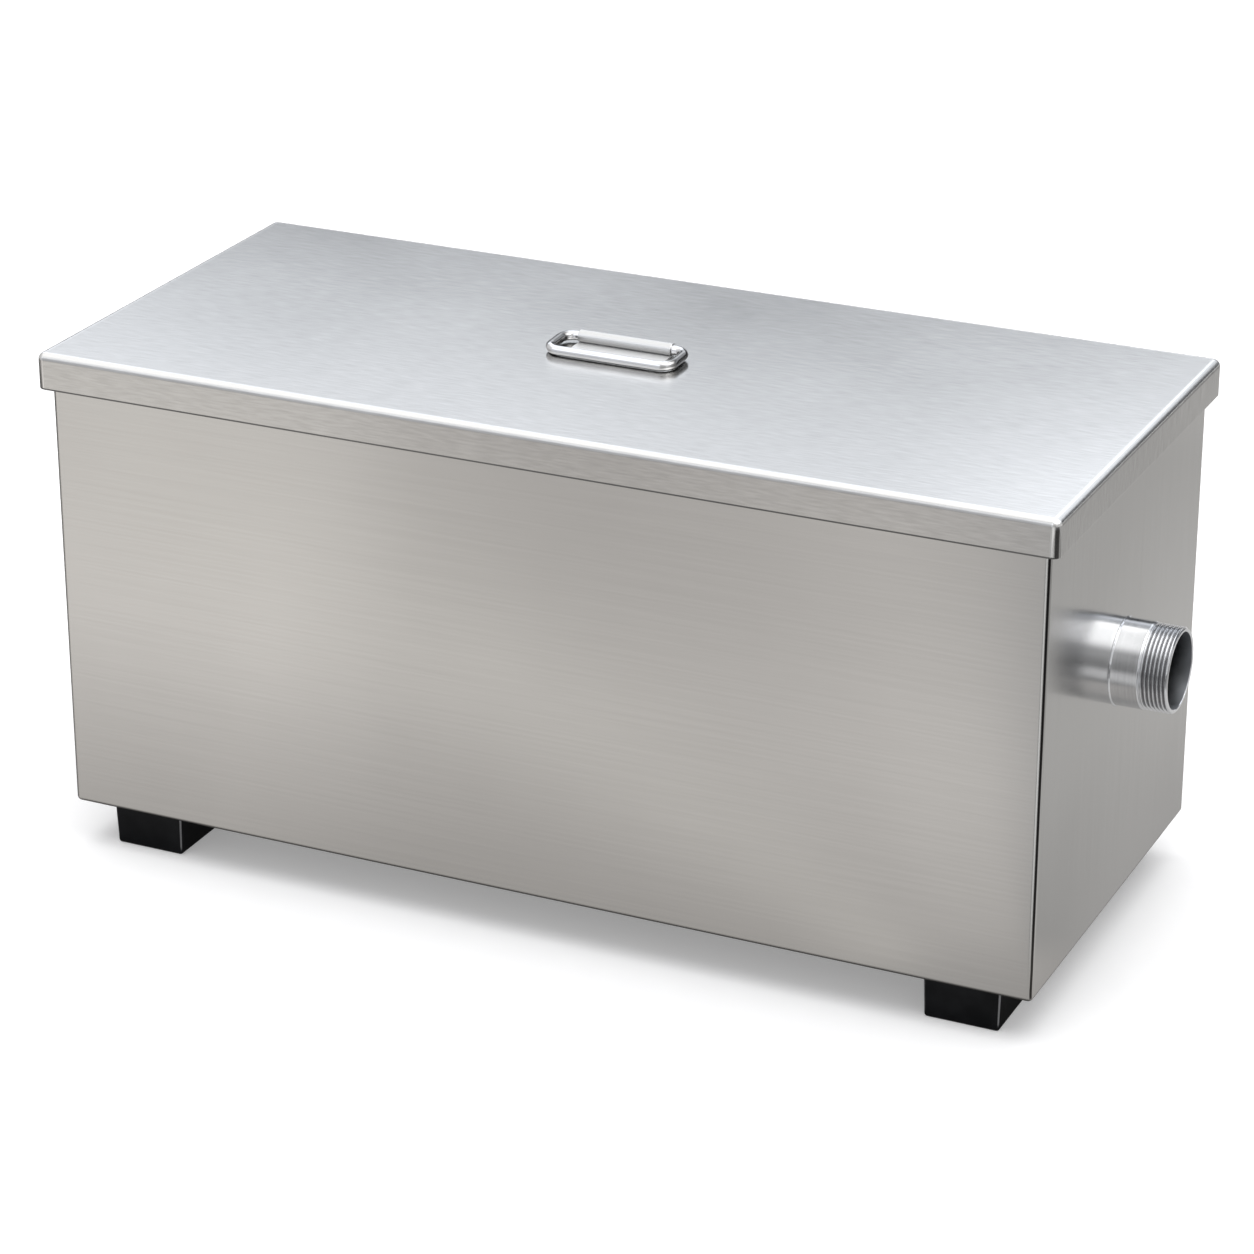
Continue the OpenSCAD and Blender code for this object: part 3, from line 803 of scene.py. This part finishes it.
# The clip's roll is darkened on its lower half with painted shade
roll_finish = brushed_steel("brushed_clip_steel", (0.66, 0.66, 0.66), (0.74, 0.74, 0.74), rough=0.3,
                            streak_share=0.5,
                            painted_shade=(pivot[2] + SHADE_START, pivot[2] + SHADE_FULL, 0, SHADE_SHARE))
clip = add_piece("clip_strip", rolled_clip(), "handle_clip", roll_finish)
clip_bevel = clip.modifiers.new("rounded_edges", "BEVEL")
clip_bevel.width = CLIP_EDGE
clip_bevel.segments = 2
clip_bevel.limit_method = "ANGLE"
clip_bevel.angle_limit = math.radians(60)
clip.modifiers.move(1, 0)
# Painted light: the tail wears a lighter, rougher copy of the clip's steel
lit_tail_finish = brushed_steel("brushed_tail_steel", (0.72, 0.72, 0.72), (0.8, 0.8, 0.8), rough=0.42,
                            streak_share=0.5)
clip_middles = middles(clip)
refinish(clip, lit_tail_finish, (clip_middles[:, 1] < pivot[1]) & (clip_middles[:, 2] < pivot[2] - WIRE / 2))

# %% [markdown]
# ## The feet
#
# Each foot is a moulded black block with leaning sides, round edges and a pocket underneath for its nut.
# Its rings start at the stud's hole, run out over the top, down the sides, round the toe, back under to
# the pocket and up inside it. Moulded plastic has a fine even grain and a satin sheen, and its upright edges
# carry a painted grey highlight. Each point carries how far round an edge it is: 0 on a side and 1 half way
# round.

# %% Moulded plastic
def moulded_plastic():
    """Black moulding: spark-eroded grain in the bump, slow clouds in the gloss, painted highlight on upright
    edges.
    """
    material, tree, shader = new_finish("moulded_black_plastic")
    place = object_place(tree)
    grain = stretched_noise(tree, place, (1500, 1500, 1500), 2)
    clouds = stretched_noise(tree, place, (70, 70, 70), 3)
    black = tinted(tree, spread(tree, clouds, 0, 1), (0.005, 0.0053, 0.006), (0.009, 0.0094, 0.0105))
    round_edge, height, _ = axes_of(tree, own_map(tree))
    # Painted highlight: grey down the middle of the upright edges
    edge_highlight = combine(tree, "MULTIPLY", soft_step(tree, round_edge, 0.8, 1.0),
                     soft_step(tree, height, 2 * MM, 6 * MM))
    dress(tree, shader, tinted(tree, edge_highlight, black, (0.17, 0.17, 0.175)), spread(tree, clouds, 0.38, 0.48),
          bumped(tree, grain, 0.15, 0.06 * MM), metal=False)
    shader.inputs["Specular IOR Level"].default_value = 0.1
    return material


foot_finish = moulded_plastic()
print("foot finish:", foot_finish.name)

# %% Four feet
FOOT_EDGE = 3 * MM
FOOT_DRAFT = 1 * MM
FOOT_TOE = 2 * MM
TOP_EDGE = 0.4 * MM
POCKET = 10 * MM
POCKET_TOP = 17 * MM
STUD_HOLE = 3.4 * MM
foot_walk = rectangle_walk(side_steps=6, corner_steps=8)


def hub_ring(outline, radius, z):
    """A circle whose points lie on the same rays from the foot's middle as the outline's points."""
    angle = np.arctan2(outline[:, 1], outline[:, 0])
    return np.stack([radius * np.cos(angle), radius * np.sin(angle), np.full(angle.shape, z)], axis=-1)


def moulded_foot(node):
    """Rings from the stud's hole over the outside to the pocket and back to the hole."""
    low, high = (np.array(corner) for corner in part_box(node))
    half, height = (high - low)[0] / 2, high[2]
    profile = np.concatenate([arc(TOP_EDGE, height - TOP_EDGE, TOP_EDGE, 0, 90, steps=4),
                              arc(FOOT_DRAFT + FOOT_TOE, FOOT_TOE, FOOT_TOE, 90, 180, steps=8)])
    inset = profile[:, 0]
    outside = rings(foot_walk, half - np.repeat(inset[:, None], 2, axis=1),
                    np.maximum(FOOT_EDGE - inset * FOOT_EDGE / (FOOT_DRAFT + FOOT_TOE), 0.2 * MM),
                    profile[:, 1])
    hubs = [(STUD_HOLE, height), (POCKET, 0), (POCKET, POCKET_TOP), (STUD_HOLE, POCKET_TOP),
            (STUD_HOLE, height)]
    circles = [hub_ring(outside[0], radius, z)[None] for radius, z in hubs]
    grid = np.concatenate([circles[0], outside, *circles[1:]])
    round_edge = np.zeros(grid.shape[:2])
    round_edge[1:1 + len(outside)] = np.abs(np.sin(2 * np.angle(foot_walk[1])))
    flat = np.stack([round_edge, grid[..., 2]], axis=-1)
    return grid + np.append((low + high)[:2] / 2, 0), flat


for place in ("front_left", "front_right", "back_left", "back_right"):
    add_piece("moulded_foot_" + place, [moulded_foot("foot_" + place)], "foot_" + place,
              foot_finish)

# %% [markdown]
# ## Finishes for the solids that stay
#
# The baffles, basket, ledges, seal and foot fasteners keep their CAD shapes. The inside sheet has the
# duller mill finish, the basket's arch is polished like the ring, the fasteners are plain rolled steel and
# the seal is soft dark rubber.

# %% Rubber and fastener steel
def seal_rubber():
    """Foamed rubber: matt and dark, with fine pores in the bump."""
    material, tree, shader = new_finish("seal_rubber")
    place = object_place(tree)
    pores = stretched_noise(tree, place, (900, 900, 900), 3)
    clouds = stretched_noise(tree, place, (50, 50, 50), 3)
    colour = tinted(tree, spread(tree, clouds, 0, 1), (0.022, 0.022, 0.023), (0.036, 0.036, 0.037))
    dress(tree, shader, colour, spread(tree, pores, 0.7, 0.9), bumped(tree, pores, 0.4, 0.15 * MM),
          metal=False)
    return material


def rolled_steel():
    """Plain fasteners: grey steel with patchy gloss."""
    material, tree, shader = new_finish("rolled_fastener_steel")
    patches = stretched_noise(tree, object_place(tree), (220, 220, 220), 4)
    colour = tinted(tree, spread(tree, patches, 0, 1), (0.42, 0.42, 0.43), (0.58, 0.58, 0.58))
    dress(tree, shader, colour, spread(tree, patches, 0.25, 0.42), bumped(tree, patches, 0.1, 0.05 * MM))
    return material


kept_nodes = [
    (seal_rubber(), ["lid_seal"]),
    (inner_finish, ["inlet_baffle", "outlet_baffle", "basket", "basket_ledge_front", "basket_ledge_back"]),
    (bright_finish, ["basket_handle"]),
    (rolled_steel(), ["foot_studs", "foot_washers", "foot_nuts"])]
for finish, names in kept_nodes:
    for name in names:
        frame["nodes"][name].data.materials.clear()
        frame["nodes"][name].data.materials.append(finish)
    print(finish.name, "on", names)

# %% [markdown]
# ## Floor, light and camera
#
# The photo is a product shot on white: a pale light table that is slightly overexposed and glows a little
# from below, with one broad light from above. Steel shows the room it stands in, so its tones are a question
# of what each face mirrors. A photographer sets cards round such an object, outside the picture, to be seen
# in the metal alone. The cards here do the same: only mirrored rays meet them, so they neither light the
# floor nor hide it.

# %% Camera
CAMERA_AZIMUTH = math.radians(24.907)
CAMERA_ELEVATION = math.radians(23.211)
CAMERA_PLACE = (0.900963, -1.941441, 1.057485)
CAMERA_LENS = 117.41
SENSOR_WIDTH = 36
forward = Vector((-math.sin(CAMERA_AZIMUTH) * math.cos(CAMERA_ELEVATION),
                  math.cos(CAMERA_AZIMUTH) * math.cos(CAMERA_ELEVATION),
                  -math.sin(CAMERA_ELEVATION)))
camera = bpy.data.objects.new("photo_camera", bpy.data.cameras.new("photo_camera"))
camera.data.sensor_width = SENSOR_WIDTH
camera.data.lens = CAMERA_LENS
camera.data.clip_end = 100
camera.location = CAMERA_PLACE
camera.rotation_euler = forward.to_track_quat("-Z", "Y").to_euler()
bpy.context.scene.collection.objects.link(camera)
bpy.context.scene.camera = camera
bpy.context.scene.view_settings.view_transform = "Standard"
print("camera looks along", [round(part, 3) for part in forward])

# %% Floor
FLOOR_END = 15.0
TABLE_GLOW = 0.26


def flat_stage(name, corners):
    """A four-cornered sheet that isn't part of the object."""
    mesh = bpy.data.meshes.new(name)
    mesh.from_pydata(corners, [], [(0, 1, 2, 3)])
    sheet = bpy.data.objects.new(name, mesh)
    bpy.context.scene.collection.objects.link(sheet)
    return sheet


def level_corners(low, high, z):
    """Corners of a level sheet between its lowest and highest x and y."""
    return [(low[0], low[1], z), (high[0], low[1], z), (high[0], high[1], z), (low[0], high[1], z)]


def pale_floor():
    """A large flat sheet of white paper at the feet's level, lit a little from below."""
    floor = flat_stage("floor", level_corners((-FLOOR_END, -FLOOR_END), (FLOOR_END, FLOOR_END), 0))
    material, tree, shader = new_finish("white_paper")
    fibres = stretched_noise(tree, object_place(tree), (60, 60, 60), 3)
    tree.links.new(tinted(tree, spread(tree, fibres, 0, 1), (0.80, 0.80, 0.80), (0.82, 0.82, 0.82)),
                   shader.inputs["Base Color"])
    shader.inputs["Roughness"].default_value = 1.0
    shader.inputs["Specular IOR Level"].default_value = 0.0
    shader.inputs["Emission Color"].default_value = (1, 1, 1, 1)
    shader.inputs["Emission Strength"].default_value = TABLE_GLOW
    floor.data.materials.append(material)
    return floor


print("floor:", pale_floor().name)

# %% Lights
def broad_light(name, direction, spread_degrees, strength):
    """Even light from one side of the sky, as from a large diffuser: it falls alike on all of the floor."""
    light = bpy.data.lights.new(name, "SUN")
    light.energy = strength
    light.angle = math.radians(spread_degrees)
    lamp = bpy.data.objects.new(name, light)
    lamp.rotation_euler = Vector(direction).to_track_quat("-Z", "Y").to_euler()
    bpy.context.scene.collection.objects.link(lamp)
    return lamp


def studio_room(horizon, zenith):
    """The room around: an even tone that brightens from the horizon to the ceiling."""
    world = bpy.data.worlds.new("studio_room")
    world.use_nodes = True
    tree = world.node_tree
    height = axes_of(tree, tree.nodes.new("ShaderNodeTexCoord").outputs["Generated"])[2]
    tone = tinted(tree, ranged(tree, height, -0.05, 0.8), horizon, zenith)
    tree.links.new(tone, tree.nodes["Background"].inputs["Color"])
    bpy.context.scene.world = world
    return world


studio_room(horizon=(0.6, 0.6, 0.6), zenith=(0.75, 0.75, 0.77))
broad_light("ceiling_diffuser", direction=(-0.04, 0.08, -1.0), spread_degrees=58, strength=1.8)

# %% Reflector cards
CARD_LIFT = 1 * MM
FLOOR_CARD_END = 4.5
near_corner = (tank_half[0], -tank_half[1])
left_corner = (-tank_half[0], -tank_half[1])
# Tones round the near upright corner, by the compass angle in degrees at which a mirrored ray leaves it
COMPASS_TONES = [(-180, (0.87, 0.84, 0.81)), (-160, (0.87, 0.84, 0.81)), (-146, (0.96, 0.93, 0.89)),
                 (-134, (0.80, 0.773, 0.747)), (-114, (0.81, 0.785, 0.76)), (-104, 0.52), (-94, 0.34),
                 (-84, 0.95), (-64, 0.95), (-52, 0.25), (-10, 0.25), (4, 0.7), (28, (0.64, 0.63, 0.62)),
                 (65, (0.545, 0.54, 0.53)), (74, (0.56, 0.555, 0.545)), (86, (0.74, 0.73, 0.72)),
                 (150, (0.72, 0.71, 0.70)), (180, (0.87, 0.84, 0.81))]
# Tones round the left front corner in the same way: its fold mirrors a darker part of the room
LEFT_TONES = [(-180, 0.4), (-160, 0.4), (-138, 1.0), (118, 1.0), (135, 0.4), (180, 0.4)]
# Within this way in metres from the near corner the compass tones give way to an even one
CORNER_REACH = (0.08, 0.14)
CORNER_TONE = (0.72, 0.7, 0.68)
# Tones by the way out from the tank in metres; the end walls mirror a shorter way, which the reaches stretch
WAY_OUT_TONES = [(0.0, 0.08), (0.03, 0.66), (0.3, 1.02), (0.5, 0.95), (0.62, 0.89), (0.74, 1.0),
                 (0.88, 0.96), (1.0, 0.62)]
LEFT_REACH = 1.4
END_REACH = 2.7
# Tones by the place along the front wall in metres, and how far a mirrored ray slants aside on its way out
ACROSS_TONES = [(-0.45, 1.1), (-0.2, 1.12), (-0.1, 0.95), (0.02, 0.91), (0.15, 0.96), (0.26, 1.07),
                (0.36, 1.0)]
MIRROR_SLANT = math.tan(CAMERA_AZIMUTH)
# Tones of the wall behind by its x in metres, mirrored in the lid from the left end to the right
BACK_ENDS = (-2.2, 2.0)
BACK_TONES = [(-2.05, 1.07), (-1.63, 0.97), (-1.35, 1.04), (-1.08, 0.97), (-0.8, 1.02), (-0.5, 1.42),
              (-0.3, 1.45), (0.1, 0.9), (0.4, 0.66), (1.9, 0.66)]
# The same wall's tones by its height: it brightens from the first two heights on, and dims a little above
BACK_RISE = (1.15, 1.5, 0.17, 1.95)
BACK_DIM = (1.75, 2.2, 1, 0.56)


def only_mirrored(card):
    """Lets only mirrored rays meet a card."""
    card.visible_camera = False
    card.visible_diffuse = False
    card.visible_transmission = False
    card.visible_shadow = False
    return card


def glowing(name):
    """A material that only gives off light, with its tree and its emission node."""
    material = bpy.data.materials.new(name)
    material.use_nodes = True
    tree = material.node_tree
    tree.nodes.clear()
    output = tree.nodes.new("ShaderNodeOutputMaterial")
    glow = tree.nodes.new("ShaderNodeEmission")
    tree.links.new(glow.outputs["Emission"], output.inputs["Surface"])
    return material, tree, glow


def tone_ramp(tree, value, low, high, tones):
    """A grey or colour that runs through the given tones, each at its own value between low and high."""
    ramp = tree.nodes.new("ShaderNodeValToRGB")
    elements = ramp.color_ramp.elements
    while len(elements) < len(tones):
        elements.new(0.5)
    for element, (at, tone) in zip(elements, tones):
        element.position = (at - low) / (high - low)
        element.color = (*np.broadcast_to(tone, 3), 1)
    tree.links.new(ranged(tree, value, low, high), ramp.inputs["Fac"])
    return ramp.outputs["Color"]


def floor_card():
    """What the upright faces mirror: a tone by the compass angle, times one by the way out from the tank and
    one by the place on the front wall that mirrors it, which is x + slant times the way out in front."""
    corners = level_corners((-FLOOR_CARD_END, -FLOOR_CARD_END), (FLOOR_CARD_END, FLOOR_CARD_END), CARD_LIFT)
    card = only_mirrored(flat_stage("floor_card", corners))
    material, tree, glow = glowing("floor_card_tones")
    x, y, _ = axes_of(tree, object_place(tree))

    def past(place, half):
        beyond = combine(tree, "SUBTRACT", combine(tree, "ABSOLUTE", place, 0), half)
        return combine(tree, "MAXIMUM", beyond, 0)

    def by_compass(corner, tones):
        angle = combine(tree, "ARCTAN2", combine(tree, "SUBTRACT", y, corner[1]),
                        combine(tree, "SUBTRACT", x, corner[0]))
        return tone_ramp(tree, combine(tree, "DEGREES", angle, 0), -180, 180, tones)

    def squared(place, centre):
        return combine(tree, "POWER", combine(tree, "SUBTRACT", place, centre), 2)

    squares = combine(tree, "ADD", squared(x, near_corner[0]), squared(y, near_corner[1]))
    clear = soft_step(tree, combine(tree, "SQRT", squares, 0), *CORNER_REACH)
    tree.links.new(tinted(tree, clear, CORNER_TONE, by_compass(near_corner, COMPASS_TONES)),
                   glow.inputs["Color"])
    past_y = past(y, tank_half[1])
    reach = soft_step(tree, x, -0.1, 0.1, LEFT_REACH, END_REACH)
    way_out = combine(tree, "MAXIMUM", past_y, combine(tree, "MULTIPLY", past(x, tank_half[0]), reach))
    wall_x = combine(tree, "ADD", x, combine(tree, "MULTIPLY", past_y, MIRROR_SLANT))
    tone = combine(tree, "MULTIPLY", tone_ramp(tree, way_out, 0, 1, WAY_OUT_TONES),
                   tone_ramp(tree, wall_x, -0.5, 0.5, ACROSS_TONES))
    tone = combine(tree, "MULTIPLY", tone, by_compass(left_corner, LEFT_TONES))
    tree.links.new(tone, glow.inputs["Strength"])
    card.data.materials.append(material)
    return card


def upright_corners(left, right, low, high):
    """Corners of an upright card between two places on the floor."""
    return [(*left, low), (*right, low), (*right, high), (*left, high)]


def plain_card(name, corners, tint, strength):
    """A card of one tint. Its strength is a number, or a function of its tree and its x, y and z."""
    card = only_mirrored(flat_stage(name, corners))
    material, tree, glow = glowing(name + "_tone")
    glow.inputs["Color"].default_value = (*tint, 1)
    if callable(strength):
        strength = strength(tree, *axes_of(tree, object_place(tree)))
    link_in(tree, glow.inputs["Strength"], strength)
    card.data.materials.append(material)
    return card


def back_strength(tree, x, y, z):
    """What the lid mirrors, blurred by the brushing: dark below and bright above, times the tones by x."""
    rise = combine(tree, "MULTIPLY", soft_step(tree, z, *BACK_RISE), soft_step(tree, z, *BACK_DIM))
    return combine(tree, "MULTIPLY", rise, tone_ramp(tree, x, *BACK_ENDS, BACK_TONES))


CARD_FOOT = 0.02
CEILING = 2.4
WHITE = (1, 1, 1)
COOL_WALL = (0.95, 0.99, 1.055)
COOL_FRONT = (0.95, 0.975, 1.02)
cards = [
    floor_card(),
    plain_card("back_card", upright_corners((-4, 2.5), (4, 2.5), 0.3, 3.4), COOL_WALL, back_strength),
    # The folds along the front mirror a wall at the front left, grey below and white above
    plain_card("front_card", upright_corners((-3.2, -1.6), (0.6, -3.0), CARD_FOOT, 2.8), COOL_FRONT,
               lambda tree, x, y, z: soft_step(tree, z, 1.2, 1.75, 0.68, 1.4)),
    # The tops of the folds and of the handle mirror the white diffuser overhead
    plain_card("ceiling_card", level_corners((-3, -1.6), (0.95, 2.0), CEILING), WHITE, 1.2),
    # The outlet stub mirrors, by way of the end wall, a sheet overhead that is greyer towards the front
    plain_card("side_card", level_corners((0.95, -3.2), (3.8, 1.6), CEILING), WHITE,
               lambda tree, x, y, z: soft_step(tree, y, -2.8, 0.0, 0.5, 2.8)),
    # Below that, at the front right, stands a dim wall that is darker towards the floor
    plain_card("corner_card", upright_corners((0.75, -3.2), (3.8, -3.2), CARD_FOOT, CEILING), WHITE,
               lambda tree, x, y, z: soft_step(tree, z, 0.3, 2.4, 0.34, 0.55))]
print("cards:", [card.name for card in cards])
